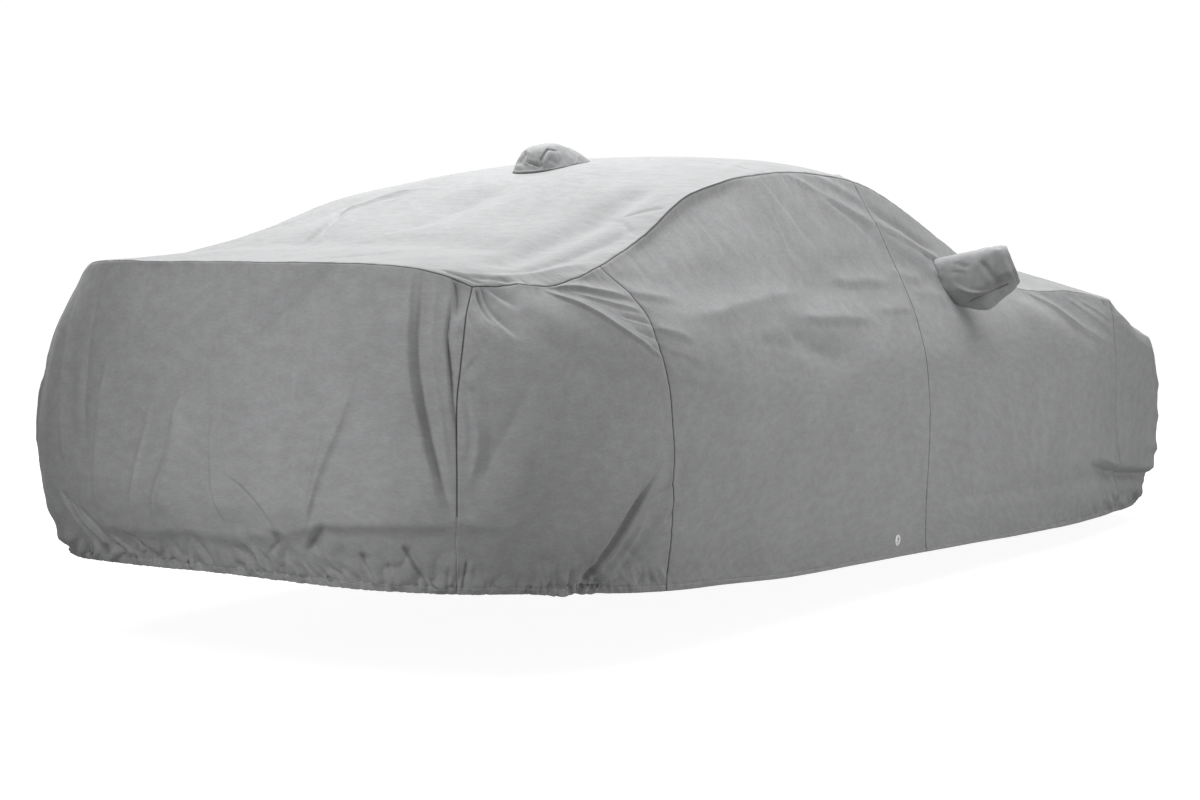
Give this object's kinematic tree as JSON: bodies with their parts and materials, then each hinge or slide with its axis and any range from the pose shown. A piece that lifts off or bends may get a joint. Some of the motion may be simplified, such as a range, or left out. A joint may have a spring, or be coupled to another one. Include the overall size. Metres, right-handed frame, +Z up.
{
  "type": "car cover",
  "caption": "Fitted, hollow outdoor cover of soft grey cloth for a low two-door vehicle, with sewn panels, mirror and antenna pockets, a gathered hem and tie-down eyelets.",
  "frame": {"origin": "the held point just under the middle of the roof cloth, midway between the axles", "axes": "+X towards the front end, +Y towards the left side, +Z up"},
  "size_m": [4.8801, 2.132, 1.3462],
  "materials": {
    "cover_cloth": "matte light grey layered non-woven cloth with a fine pressed grain",
    "eyelet_ring": "satin pale plastic"
  },
  "bodies": {
    "root": {"tail_panel": "cover_cloth", "nose_panel": "cover_cloth", "rear_top_panel": "cover_cloth", "front_top_panel": "cover_cloth", "quarter_panel_right": "cover_cloth", "quarter_panel_left": "cover_cloth", "side_panel_right": "cover_cloth", "side_panel_left": "cover_cloth", "eyelet_strip_right": "cover_cloth", "eyelet_strip_left": "cover_cloth", "front_panel_right": "cover_cloth", "front_panel_left": "cover_cloth", "mirror_pocket_right": "cover_cloth", "mirror_pocket_left": "cover_cloth", "antenna_pocket": "cover_cloth", "eyelet_ring_right": "eyelet_ring", "eyelet_ring_left": "eyelet_ring"}
  },
  "joints": []
}
